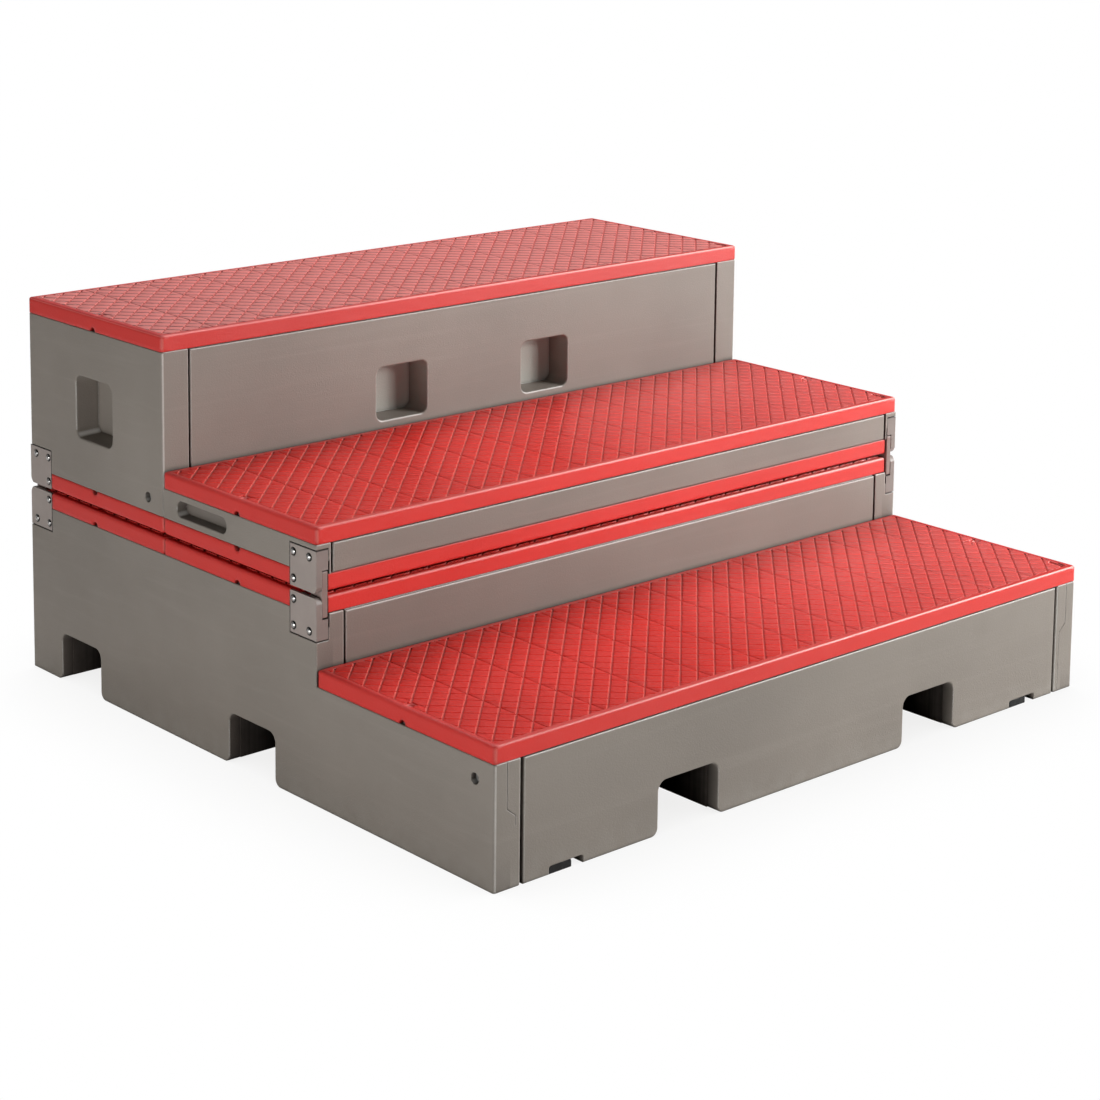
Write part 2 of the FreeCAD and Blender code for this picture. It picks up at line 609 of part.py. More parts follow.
def top_end(side):
    outer, inner = SIDES[side] * X_RIGHT, SIDES[side] * INNER
    (y_low, y_high), (z_low, z_high) = TOP_Y, TOP_Z
    y_mid = (y_low + y_high) / 2
    panel = box(*end_span(side, 0, END_T), *TOP_Y, *TOP_Z)
    panel = rounded(panel, END_CORNER_R, lambda edge: vertical(edge)
                    and near(edge.XMin, outer))
    panel = rounded(panel, UNIT_EDGE_R, lambda edge: (flat_z(edge, z_low)
                    or flat_z(edge, z_high)) and not flat_x(edge, inner))
    cup = pocket_cup(END_CUP_W, END_CUP_H, CUP_R, END_CUP_D, CUP_TAPER)
    panel = panel.cut(end_cup(cup, side, y_mid, CUP_Z))
    panel = rounded(panel, CUP_EDGE_R, lambda edge: flat_x(edge, outer)
                    and around(edge.YMin, edge.YMax, y_mid)
                    and around(edge.ZMin, edge.ZMax, CUP_Z))
    # cavities above, below, in front of and behind the cup
    core = end_span(side, THICK_WALL, END_T - THICK_WALL)
    panel = hollow(panel, [
        (*core, y_low + 8, y_high - 8, z_high - 64, z_high - THICK_WALL),
        (*core, y_low + 62, y_high - 75, z_low + THICK_WALL, z_low + 60),
        (*core, y_low + 8, y_mid - 64, z_low + 66, z_high - 70),
        (*core, y_mid + 64, y_high - 8, z_low + 66, z_high - 70)])
    panel = rod_cut(panel, side, ROD_TOP)
    panel = panel.cut(place(HINGE_POCKET, side, "rear", "unit"))
    return clean(add_bosses(panel, side, [(y_mid, z_high, True), (y_mid, z_low, False)]))


def top_front():
    """front panel with two cups, each backed by a shell behind the panel"""
    y_low = TOP_Y[0]
    panel = cross_panel(y_low, PANEL_T, *TOP_Z, END_T, -1)
    half_w, half_h = FRONT_CUP_W / 2 + WALL, FRONT_CUP_H / 2 + WALL
    for x in (-CUP_X, CUP_X):
        shell = box(x - half_w, x + half_w, y_low + 10, y_low + FRONT_CUP_D + WALL,
                    CUP_Z - half_h, CUP_Z + half_h)
        panel = panel.fuse(rounded(shell, 12.0, lambda edge: along(edge, "y")))
    cup = pocket_cup(FRONT_CUP_W, FRONT_CUP_H, CUP_R, FRONT_CUP_D, CUP_TAPER)
    cup.rotate(ORIGIN, Vector(0, 0, 1), 90)
    for x in (-CUP_X, CUP_X):
        tool = cup.copy()
        tool.translate(Vector(x, y_low, CUP_Z))
        panel = panel.cut(tool)
    panel = rounded(panel, CUP_EDGE_R, lambda edge: flat_y(edge, y_low)
                    and around(edge.ZMin, edge.ZMax, CUP_Z))
    # cavities above, below, left of, right of and between the cups
    core = (y_low + WALL, y_low + PANEL_T - WALL)
    beside = (*core, CUP_Z - 50, CUP_Z + 50)
    return clean(hollow(panel, [
        (-CORE_X, CORE_X, *core, CUP_Z + 58, TOP_Z[1] - THICK_WALL),
        (-CORE_X, CORE_X, *core, TOP_Z[0] + THICK_WALL, CUP_Z - 58),
        (-CORE_X, -CUP_X - 66, *beside),
        (CUP_X + 66, CORE_X, *beside),
        (-CUP_X + 66, CUP_X - 66, *beside)]))


def top_rear():
    y_min = TOP_Y[1] - PANEL_T
    panel = cross_panel(y_min, PANEL_T, *TOP_Z, END_T, 1)
    return clean(hollow(panel, [(-CORE_X, CORE_X, y_min + WALL, TOP_Y[1] - WALL,
                                 TOP_Z[0] + THICK_WALL, TOP_Z[1] - THICK_WALL)]))


for side in SIDES:
    save("top_end_panel_" + side, top_end(side))
save("top_front_panel", top_front())
save("top_rear_panel", top_rear())
save("top_upper_deck", deck(*TOP_Y, TOP_Z[1]))
save("top_lower_deck", deck(*TOP_Y, Z_UNIT, up=False, hinge="rear"))
save_hinges("top", "rear", "unit")
save_rivets("top", ["rear"], "unit")
save("top_tie_rod", tie_rod(ROD_TOP))

# ---------------------------------------------------------------- links
for face in ("front", "rear"):
    for side in SIDES:
        save("%s_link_%s" % (face, side), place(LINK, side, face, "seam"))
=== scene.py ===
import math
import random

import bmesh
import bpy
from mathutils import Matrix, Vector


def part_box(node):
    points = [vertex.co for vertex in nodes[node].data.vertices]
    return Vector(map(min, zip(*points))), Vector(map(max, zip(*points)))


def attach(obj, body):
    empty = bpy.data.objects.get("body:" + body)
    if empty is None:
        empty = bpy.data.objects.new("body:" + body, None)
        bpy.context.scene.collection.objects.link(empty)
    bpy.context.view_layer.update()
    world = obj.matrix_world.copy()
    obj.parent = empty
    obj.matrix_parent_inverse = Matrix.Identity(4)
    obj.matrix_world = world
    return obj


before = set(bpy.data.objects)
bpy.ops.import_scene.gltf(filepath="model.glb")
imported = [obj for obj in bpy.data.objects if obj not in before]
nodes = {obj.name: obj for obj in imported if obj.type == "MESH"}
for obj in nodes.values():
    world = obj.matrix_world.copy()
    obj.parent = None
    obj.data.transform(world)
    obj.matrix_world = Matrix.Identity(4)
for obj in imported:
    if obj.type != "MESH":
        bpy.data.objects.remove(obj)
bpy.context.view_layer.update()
scene = bpy.context.scene
random.seed(7)


# ------------------------------------------------------------------ node helpers
class Mat:
    def __init__(self, name):
        self.m = bpy.data.materials.new(name)
        self.m.use_nodes = True
        self.t = self.m.node_tree
        self.t.nodes.clear()
        self.out = self.t.nodes.new("ShaderNodeOutputMaterial")
        self.bsdf = self.t.nodes.new("ShaderNodeBsdfPrincipled")
        self.link(self.bsdf.outputs[0], self.out.inputs["Surface"])
        self.coord = self.t.nodes.new("ShaderNodeTexCoord").outputs["Object"]
        self.geo = self.t.nodes.new("ShaderNodeNewGeometry")

    def link(self, a, b):
        self.t.links.new(a, b)

    def put(self, sock, v):
        if isinstance(v, bpy.types.NodeSocket):
            self.link(v, sock)
        else:
            sock.default_value = v

    def set(self, **kw):
        names = {"color": "Base Color", "rough": "Roughness", "metal": "Metallic", "normal": "Normal",
                 "spec": "Specular IOR Level", "coat": "Coat Weight", "coat_rough": "Coat Roughness",
                 "sheen": "Sheen Weight", "aniso": "Anisotropic", "sss": "Subsurface Weight"}
        for k, v in kw.items():
            self.put(self.bsdf.inputs[names[k]], v)

    def scaled(self, scale, rot=(0, 0, 0)):
        n = self.t.nodes.new("ShaderNodeMapping")
        self.link(self.coord, n.inputs["Vector"])
        n.inputs["Scale"].default_value = scale if isinstance(scale, tuple) else (scale,) * 3
        n.inputs["Rotation"].default_value = rot
        return n.outputs[0]

    def noise(self, scale, detail=2.0, rough=0.5, vec=None, dist=0.0):
        n = self.t.nodes.new("ShaderNodeTexNoise")
        self.link(vec if vec is not None else self.coord, n.inputs["Vector"])
        n.inputs["Scale"].default_value = scale
        n.inputs["Detail"].default_value = detail
        n.inputs["Roughness"].default_value = rough
        n.inputs["Distortion"].default_value = dist
        return n.outputs["Fac"]

    def voronoi(self, scale, feature="F1", vec=None):
        n = self.t.nodes.new("ShaderNodeTexVoronoi")
        n.feature = feature
        self.link(vec if vec is not None else self.coord, n.inputs["Vector"])
        n.inputs["Scale"].default_value = scale
        return n.outputs["Distance"]

    def math(self, op, a, b=0.0, c=None, clamp=False):
        n = self.t.nodes.new("ShaderNodeMath")
        n.operation = op
        n.use_clamp = clamp
        self.put(n.inputs[0], a)
        self.put(n.inputs[1], b)
        if c is not None:
            self.put(n.inputs[2], c)
        return n.outputs[0]

    def span(self, v, a, b, c=0.0, d=1.0):
        n = self.t.nodes.new("ShaderNodeMapRange")
        n.clamp = True
        self.put(n.inputs["Value"], v)
        n.inputs["From Min"].default_value = a
        n.inputs["From Max"].default_value = b
        n.inputs["To Min"].default_value = c
        n.inputs["To Max"].default_value = d
        return n.outputs["Result"]

    def mix(self, fac, a, b, mode="MIX"):
        n = self.t.nodes.new("ShaderNodeMix")
        n.data_type = "RGBA"
        n.blend_type = mode
        self.put(n.inputs["Factor"], fac)
        for s, v in ((n.inputs[6], a), (n.inputs[7], b)):
            if isinstance(v, tuple) and len(v) == 3:
                v = v + (1.0,)
            self.put(s, v)
        return n.outputs[2]

    def axis(self, k):
        n = self.t.nodes.new("ShaderNodeSeparateXYZ")
        self.link(self.coord, n.inputs[0])
        return n.outputs[k]

    def soft(self, radius, samples=4):
        n = self.t.nodes.new("ShaderNodeBevel")
        n.samples = samples
        self.put(n.inputs["Radius"], radius)
        return n.outputs[0]

    def facing(self, blend=0.5):
        n = self.t.nodes.new("ShaderNodeLayerWeight")
        n.inputs["Blend"].default_value = blend
        return n.outputs["Facing"]

    def toward(self, direction, lo, hi, normal=None):
        """0..1 as the surface turns towards a direction, from cosine lo to cosine hi"""
        n = self.t.nodes.new("ShaderNodeVectorMath")
        n.operation = "DOT_PRODUCT"
        self.link(normal if normal is not None else self.geo.outputs["Normal"], n.inputs[0])
        n.inputs[1].default_value = Vector(direction).normalized()
        return self.span(n.outputs["Value"], lo, hi)

    def crevice(self, dist=0.010, lo=0.25, hi=0.80, samples=5):
        """1 in narrow gaps and inner corners, 0 in the open"""
        n = self.t.nodes.new("ShaderNodeAmbientOcclusion")
        n.samples = samples
        n.inputs["Distance"].default_value = dist
        return self.span(n.outputs["AO"], lo, hi, 1.0, 0.0)

    def edge(self, radius, samples=4):
        """0 on flats, rising towards convex edges and corners"""
        b = self.soft(radius, samples)
        n = self.t.nodes.new("ShaderNodeVectorMath")
        n.operation = "DOT_PRODUCT"
        self.link(b, n.inputs[0])
        self.link(self.geo.outputs["Normal"], n.inputs[1])
        return self.math("SUBTRACT", 1.0, n.outputs["Value"], clamp=True)

    def bump(self, height, dist, strength=1.0, normal=None):
        n = self.t.nodes.new("ShaderNodeBump")
        n.inputs["Strength"].default_value = strength
        n.inputs["Distance"].default_value = dist
        self.link(height, n.inputs["Height"])
        if normal is not None:
            self.link(normal, n.inputs["Normal"])
        return n.outputs[0]


GREY = (0.268, 0.236, 0.203)
RED = (0.670, 0.030, 0.023)


def grey_panel(name="moulded_grey", tone=1.0):
    m = Mat(name)
    base = tuple(c * tone for c in GREY)
    dark = tuple(c * 0.86 for c in base)
    light = tuple(min(1, c * 1.12) for c in base)
    cloud = m.noise(3.1, 3, 0.55)
    col = m.mix(m.span(cloud, 0.35, 0.68), dark, base)
    flow = m.noise(2.2, 4, 0.6, m.scaled((0.8, 2.0, 26.0)), 0.6)
    col = m.mix(m.span(flow, 0.52, 0.74, 0.0, 0.32), col, light)
    speck = m.noise(240.0, 2, 0.6)
    col = m.mix(m.span(speck, 0.62, 0.78, 0.0, 0.22), col, dark)
    # scuffs: thin stretched marks, more of them near the floor
    scuff = m.noise(9.0, 6, 0.72, m.scaled((1.0, 1.0, 7.0), (0.25, 0.4, 0.3)), 1.4)
    low = m.span(m.axis(2), 0.0, 0.16, 1.0, 0.25)
    marks = m.math("MULTIPLY", m.span(scuff, 0.66, 0.74), low, clamp=True)
    col = m.mix(m.math("MULTIPLY", marks, 0.35), col, tuple(c * 1.45 for c in base))
    dust = m.math("MULTIPLY", m.span(m.axis(2), 0.0, 0.045, 0.55, 0.0), m.span(m.noise(40, 3), 0.3, 0.7))
    col = m.mix(dust, col, (0.31, 0.285, 0.25))
    wear = m.math("MULTIPLY", m.span(m.edge(0.004), 0.03, 0.30), m.span(m.noise(70, 4), 0.35, 0.75), clamp=True)
    col = m.mix(m.math("MULTIPLY", wear, 0.55), col, tuple(c * 1.55 for c in base))
    # painted light: a paler, greenish fill painted on the front-facing faces inside the two front hand pockets
    cup = m.math("MULTIPLY", m.span(m.axis(1), 0.222, 0.228), m.span(m.axis(1), 0.245, 0.240))
    cup = m.math("MULTIPLY", cup, m.toward((0.0, -1.0, 0.0), 0.90, 0.99))
    col = m.mix(m.math("MULTIPLY", cup, 0.40), col, (0.54, 0.57, 0.51))
    # painted shade: the risers grow a little darker and warmer towards the left, away from the light
    face = m.math("MULTIPLY", m.toward((0.0, -1.0, 0.0), 0.90, 0.99), m.span(m.axis(1), -0.30, -0.25))
    left = m.math("MULTIPLY", face, m.span(m.axis(0), -0.05, -0.50))
    left = m.math("MULTIPLY", left, m.span(m.axis(2), 0.30, 0.34, 0.20, 0.08))
    col = m.mix(left, col, (0.085, 0.028, 0.020))
    # painted shade: the floor channels darken quickly with depth
    deep = m.math("MINIMUM", m.math("SUBTRACT", 0.5715, m.math("ABSOLUTE", m.axis(1))),
                  m.math("SUBTRACT", 0.6096, m.math("ABSOLUTE", m.axis(0))))
    channel_shade = m.math("MULTIPLY", m.span(m.axis(2), 0.092, 0.084), m.span(deep, 0.001, 0.024))
    col = m.mix(m.math("MULTIPLY", channel_shade, 0.88), col, (0.022, 0.016, 0.013))
    # painted shade inside the hand holes in the end panels
    out = m.math("ABSOLUTE", m.axis(0))
    hole = m.math("MULTIPLY", m.span(out, 0.6085, 0.6060), m.span(out, 0.5800, 0.5820))
    hole = m.math("MULTIPLY", hole, m.span(m.axis(2), 0.410, 0.402))
    hole = m.math("MULTIPLY", hole, m.crevice(0.05, 0.55, 0.97, 4))
    col = m.mix(m.math("MULTIPLY", hole, 0.45), col, (0.085, 0.068, 0.060))
    # painted highlights on the top edges and corners, painted shade in narrow gaps
    soft = m.soft(0.0028)
    sheen = m.toward((0.28, -0.62, 0.74), 0.84, 0.96, soft)
    col = m.mix(m.math("MULTIPLY", sheen, 0.85), col, (0.88, 0.86, 0.82))
    corner = m.toward((-0.45, -0.89, 0.0), 0.965, 0.995, soft)
    col = m.mix(m.math("MULTIPLY", corner, 0.72), col, (0.82, 0.79, 0.74))
    # painted highlight on edges turned to the front right
    inner = m.toward((0.72, -0.69, 0.0), 0.94, 0.99, soft)
    col = m.mix(m.math("MULTIPLY", inner, 0.55), col, (0.80, 0.77, 0.72))
    # painted shade in narrow gaps and inner corners
    gap = m.crevice()
    col = m.mix(m.math("MULTIPLY", gap, 0.80), col, (0.030, 0.024, 0.019))
    grain = m.math("ADD", m.noise(620.0, 3, 0.6), m.math("MULTIPLY", m.voronoi(390.0), 0.7))
    nrm = m.bump(m.noise(5.5, 2, 0.4), 0.004, 0.16, soft)
    nrm = m.bump(grain, 0.00035, 0.55, nrm)
    nrm = m.bump(marks, 0.0004, 0.3, nrm)
    rough = m.math("ADD", m.span(m.noise(14, 3), 0.3, 0.7, 0.44, 0.56), m.math("MULTIPLY", marks, -0.08))
    rough = m.math("SUBTRACT", rough, m.math("MULTIPLY", sheen, 0.22))
    m.set(color=col, rough=rough, normal=nrm, spec=m.math("SUBTRACT", 0.42, m.math("MULTIPLY", gap, 0.36)))
    return m.m


def red_tread(name="tread_red", pads=False):
    m = Mat(name)
    base = RED
    cloud = m.noise(4.0, 3, 0.55)
    col = m.mix(m.span(cloud, 0.35, 0.7), tuple(c * 0.88 for c in base), base)
    speck = m.noise(300.0, 2, 0.6)
    col = m.mix(m.span(speck, 0.6, 0.8, 0.0, 0.22), col, (0.74, 0.065, 0.05))
    scuff = m.noise(7.0, 7, 0.75, m.scaled((1.0, 5.0, 1.0), (0.0, 0.0, 0.7)), 1.6)
    marks = m.span(scuff, 0.66, 0.76)
    col = m.mix(m.math("MULTIPLY", marks, 0.20 if pads else 0.10), col, (0.78, 0.16, 0.13))
    wear = m.math("MULTIPLY", m.span(m.edge(0.0022 if pads else 0.0035), 0.02, 0.22),
                  m.span(m.noise(60, 4), 0.3, 0.75), clamp=True)
    col = m.mix(m.math("MULTIPLY", wear, 0.5), col, (0.78, 0.15, 0.12))
    grain = m.math("ADD", m.noise(520.0, 3, 0.65), m.math("MULTIPLY", m.voronoi(340.0), 0.8))
    spec = 0.5
    if pads:
        top = m.span(m.axis(2), 0.50, 0.58)
        below = m.math("SUBTRACT", 1.0, top)
        spec = m.math("ADD", m.math("MULTIPLY", below, m.span(m.axis(0), -0.10, 0.55, 0.12, 1.0)),
                      m.math("MULTIPLY", top, 0.55))
        # painted light: the lower steps grow lighter and redder towards the right
        painted_light_right = m.math("MULTIPLY", below, m.span(m.axis(0), 0.15, 0.55, 0.0, 0.30))
        col = m.mix(painted_light_right, col, (0.78, 0.13, 0.11))
        # groove walls: painted highlight on the walls facing the front right light, painted shade on the walls turned
        # away
        lit_wall = m.math("MULTIPLY", m.toward((0.62, -0.62, 0.48), 0.66, 0.93), m.span(below, 0, 1, 0.15, 0.28))
        col = m.mix(lit_wall, col, (0.96, 0.40, 0.33))
        shaded_wall = m.math("MULTIPLY", m.toward((-0.60, 0.60, 0.53), 0.62, 0.95), m.span(below, 0, 1, 0.0, 0.22))
        col = m.mix(shaded_wall, col, (0.19, 0.010, 0.010))
        # painted glare and shade: the top step's pads are painted pale between cross grooves painted dark; on the
        # other steps the groove walls turned to the front are painted light, so their cross grooves stay faint
        flat = m.math("MULTIPLY", m.toward((0.0, 0.0, 1.0), 0.45, 0.60), top)
        col = m.mix(m.math("MULTIPLY", flat, 0.40), col, (0.92, 0.42, 0.38))
        near_wall = m.toward((-0.60, -0.60, 0.53), 0.60, 0.92)
        col = m.mix(m.math("MULTIPLY", m.math("MULTIPLY", near_wall, below), 0.80), col, (0.98, 0.070, 0.055))
        col = m.mix(m.math("MULTIPLY", m.math("MULTIPLY", near_wall, top), 0.92), col, (0.10, 0.014, 0.012))
        # painted shade in narrow gaps, such as between the decks that face each other
        gap = m.crevice(0.014, 0.05, 0.42, 4)
        col = m.mix(m.math("MULTIPLY", gap, 0.92), col, (0.035, 0.002, 0.002))
        # pebbled walking surface
        peb = m.math("SUBTRACT", 1.0, m.math("MULTIPLY", m.voronoi(330.0, "SMOOTH_F1"), 1.6), clamp=True)
        nrm = m.bump(m.noise(6.0, 2, 0.4), 0.003, 0.12, m.soft(0.0006))
        nrm = m.bump(peb, 0.0007, 0.55, nrm)
        nrm = m.bump(grain, 0.0004, 0.5, nrm)
        rough = m.math("ADD", m.span(m.noise(18, 3), 0.3, 0.7, 0.34, 0.45), m.math("MULTIPLY", marks, 0.10))
    else:
        # the ends of a deck have a much softer edge than its long sides
        ends = m.span(m.math("ABSOLUTE", m.axis(0)), 0.592, 0.602, 0.0018, 0.0085)
        soft = m.soft(ends, 6)
        # painted highlight along the front edge, brighter towards the right, and a richer, painted shade of red on
        # the end faces turned to the left
        sheen = m.toward((0.25, -0.60, 0.76), 0.86, 0.97, soft)
        sheen = m.math("MULTIPLY", sheen, m.span(m.axis(0), -0.45, 0.45, 0.22, 0.85))
        col = m.mix(sheen, col, (0.97, 0.62, 0.56))
        # painted highlight on the vertical front corners, and painted light on the faces turned to the front
        corner = m.toward((-0.50, -0.86, 0.05), 0.955, 0.99, soft)
        col = m.mix(m.math("MULTIPLY", corner, 0.60), col, (0.98, 0.36, 0.30))
        col = m.mix(m.math("MULTIPLY", m.toward((0.0, -1.0, 0.0), 0.80, 0.98, soft), 0.30), col, (0.84, 0.036, 0.026))
        # painted shade on the front face of the top deck's rim
        high = m.math("MULTIPLY", m.toward((0.0, -1.0, 0.0), 0.80, 0.98, soft), m.span(m.axis(2), 0.56, 0.59))
        col = m.mix(m.math("MULTIPLY", high, 0.36), col, (0.42, 0.034, 0.030))
        # painted shade on the end faces turned to the left
        end_face = m.toward((-1.0, 0.0, 0.0), 0.55, 0.95, soft)
        col = m.mix(end_face, col, (0.63, 0.038, 0.031))
        # painted shade: a darker band on the upward faces along each end of the deck
        shelf = m.math("MULTIPLY", m.toward((0.0, 0.0, 1.0), 0.80, 0.97, soft),
                       m.span(m.math("ABSOLUTE", m.axis(0)), 0.588, 0.600))
        col = m.mix(m.math("MULTIPLY", shelf, 0.75), col, (0.60, 0.012, 0.010))
        # painted glare: the floor of the grooves on the top step is painted as pale as its pads
        floor = m.span(m.math("ABSOLUTE", m.math("SUBTRACT", m.axis(2), 0.6080)), 0.0004, 0.0007, 0.55, 0.0)
        col = m.mix(floor, col, (0.80, 0.20, 0.18))
        # painted shade in narrow gaps, such as under the deck edge above the panels
        gap = m.crevice(0.0065)
        col = m.mix(m.math("MULTIPLY", gap, 0.80), col, (0.060, 0.005, 0.004))
        spec = m.math("SUBTRACT", 0.5, m.math("MAXIMUM", m.math("MULTIPLY", end_face, 0.26),
                                              m.math("MULTIPLY", gap, 0.45)))
        nrm = m.bump(m.noise(6.0, 2, 0.4), 0.003, 0.12, soft)
        nrm = m.bump(grain, 0.00028, 0.6, nrm)
        rough = m.math("ADD", m.span(m.noise(18, 3), 0.3, 0.7, 0.33, 0.43), m.math("MULTIPLY", marks, 0.10))
    m.set(color=col, rough=rough, normal=nrm, spec=spec)
    return m.m


def hinge_paint(name="hinge_paint", base=(0.292, 0.250, 0.224)):
    m = Mat(name)
    col = m.mix(m.span(m.noise(30, 3), 0.35, 0.7), tuple(c * 0.9 for c in base), base)
    wear = m.math("MULTIPLY", m.span(m.edge(0.0022), 0.04, 0.30), m.span(m.noise(160, 4), 0.42, 0.7), clamp=True)
    col = m.mix(m.math("MULTIPLY", wear, 0.6), col, (0.50, 0.48, 0.45))
    scratch = m.noise(60, 6, 0.7, m.scaled((1.0, 1.0, 9.0), (0.5, 0.2, 0.9)), 1.2)
    sc = m.span(scratch, 0.68, 0.74)
    col = m.mix(m.math("MULTIPLY", sc, 0.4), col, (0.46, 0.44, 0.41))
    # painted light and shade: side faces are painted a little lighter than the narrow front faces, which are painted
    # darker
    col = m.mix(m.math("MULTIPLY", m.toward((-1.0, 0.0, 0.0), 0.4, 0.9), 0.14), col, (0.62, 0.50, 0.45))
    col = m.mix(m.math("MULTIPLY", m.toward((0.0, -1.0, 0.0), 0.4, 0.9), 0.24), col, (0.10, 0.075, 0.065))
    # shadow line along the inner end of each plate
    line = m.math("MAXIMUM", m.span(m.math("ABSOLUTE", m.math("ADD", m.axis(1), 0.1285)), 0.0007, 0.0013, 1.0, 0.0),
                  m.span(m.math("ABSOLUTE", m.math("SUBTRACT", m.axis(1), 0.5095)), 0.0007, 0.0013, 1.0, 0.0))
    for z in (0.2398, 0.3698):
        line = m.math("MAXIMUM", line, m.span(m.math("ABSOLUTE", m.math("SUBTRACT", m.axis(2), z)), 0.0006, 0.0012, 0.8, 0.0))
    col = m.mix(m.math("MULTIPLY", line, 0.85), col, (0.030, 0.022, 0.018))
    # painted shade in narrow gaps around the plates
    gap = m.crevice(0.006, 0.30, 0.85)
    col = m.mix(m.math("MULTIPLY", gap, 0.85), col, (0.022, 0.016, 0.013))
    nrm = m.bump(m.noise(260, 2, 0.5), 0.0004, 0.35, m.soft(0.0009))
    nrm = m.bump(sc, 0.0002, 0.4, nrm)
    m.set(color=col, rough=m.span(m.noise(45, 3), 0.3, 0.7, 0.34, 0.48), normal=nrm, spec=0.5,
          coat=0.15, coat_rough=0.25)
    return m.m


def steel(name, base, rough, bright=True):
    m = Mat(name)
    col = m.mix(m.span(m.noise(420, 3), 0.35, 0.7), tuple(c * 0.8 for c in base), base)
    tarn = m.span(m.noise(130, 4), 0.55, 0.75)
    col = m.mix(m.math("MULTIPLY", tarn, 0.35), col, tuple(c * 0.55 for c in base))
    nrm = m.bump(m.noise(1500, 2, 0.5, m.scaled((1, 1, 0.15))), 0.0002, 0.4, m.soft(0.0004))
    r = m.math("ADD", m.span(m.noise(220, 3), 0.3, 0.7, rough, rough + 0.12), m.math("MULTIPLY", tarn, 0.15))
    if bright:
        # painted shade in the ring where the head meets the plate
        out = m.math("ABSOLUTE", m.axis(0))
        ring = m.span(out, 0.6104, 0.6114, 0.94, 0.0)
        col = m.mix(ring, col, (0.030, 0.027, 0.025))
        # painted dark reflection on the lower flank of each dome, as a polished dome shows
        low = m.toward((0.35, 0.45, -0.82), 0.05, 0.75)
        col = m.mix(m.math("MULTIPLY", low, 0.85), col, (0.06, 0.052, 0.048))
    m.set(color=col, rough=r, normal=nrm, metal=1.0)
    return m.m


def rubber(name="rubber_black"):
    m = Mat(name)
    col = m.mix(m.span(m.noise(50, 4), 0.35, 0.7), (0.006, 0.006, 0.006), (0.014, 0.013, 0.013))
    dust = m.span(m.noise(120, 4), 0.55, 0.8, 0.0, 0.5)
    col = m.mix(m.math("MULTIPLY", dust, 0.4), col, (0.10, 0.095, 0.085))
    nrm = m.bump(m.noise(800, 3, 0.6), 0.0004, 0.6, m.soft(0.001))
    m.set(color=col, rough=m.span(m.noise(60, 3), 0.3, 0.7, 0.68, 0.86), normal=nrm, spec=0.35)
    return m.m


M_GREY = grey_panel()
M_RED = red_tread()
M_PADS = red_tread("tread_red_pads", True)
M_HINGE = hinge_paint()
M_LINK = hinge_paint("link_paint", (0.315, 0.225, 0.198))
M_STEEL = steel("rivet_steel", (0.66, 0.65, 0.63), 0.15)
M_DARK = steel("rod_steel", (0.36, 0.35, 0.34), 0.38, False)
M_RUBBER = rubber()


def material_of(n):
    if "deck" in n:
        return M_RED
    if "rivets" in n or "pins" in n:
        return M_STEEL
    if "plate" in n:
        return M_HINGE
    if "link" in n:
        return M_LINK
    if "rod" in n:
        return M_DARK
    if "rubber" in n:
        return M_RUBBER
    return M_GREY


for name, ob in nodes.items():
    ob.data.materials.clear()
    ob.data.materials.append(material_of(name))


# ------------------------------------------------------------------ tread pads
PITCH = 0.0340            # spacing of the diagonal grooves along X
CROSS = 3 * PITCH         # spacing of the shallow grooves that run front to back
FIELD = 0.0016            # depth of the sunk walking field in the deck
MARGIN = 0.0102
HEIGHT = 0.0019
RINGS = ((0.0008, 0.62), (0.0014, 0.92), (0.0020, 1.0))
HINGE_CLEAR = (0.5862, 0.0417)            # hinge pockets at a deck corner: inner X, depth from the hinge face
DIMPLE = (0.0140, 0.0086)                 # dimple beside each deck end: distance from the end, cleared radius
SLOT = (0.5900, 0.5968, 0.0075, 0.0405)   # moulded slot: X range, distance from the front edge


def clip(poly, nx, ny, d):
    """keep the part of a convex polygon where nx*x + ny*y <= d"""
    out = []
    k = len(poly)
    for i in range(k):
        a, b = poly[i], poly[(i + 1) % k]
        da = nx * a[0] + ny * a[1] - d
        db = nx * b[0] + ny * b[1] - d
        if da <= 0:
            out.append(a)
        if (da < 0 < db) or (db < 0 < da):
            t = da / (da - db)
            out.append((a[0] + (b[0] - a[0]) * t, a[1] + (b[1] - a[1]) * t))
    return out


def tidy(poly, eps=1.1e-3):
    out = []
    for p in poly:
        if not out or math.hypot(p[0] - out[-1][0], p[1] - out[-1][1]) > eps:
            out.append(p)
    while len(out) > 1 and math.hypot(out[0][0] - out[-1][0], out[0][1] - out[-1][1]) <= eps:
        out.pop()
    return out


def area(poly):
    return 0.5 * sum(poly[i][0] * poly[(i + 1) % len(poly)][1] - poly[(i + 1) % len(poly)][0] * poly[i][1]
                     for i in range(len(poly)))


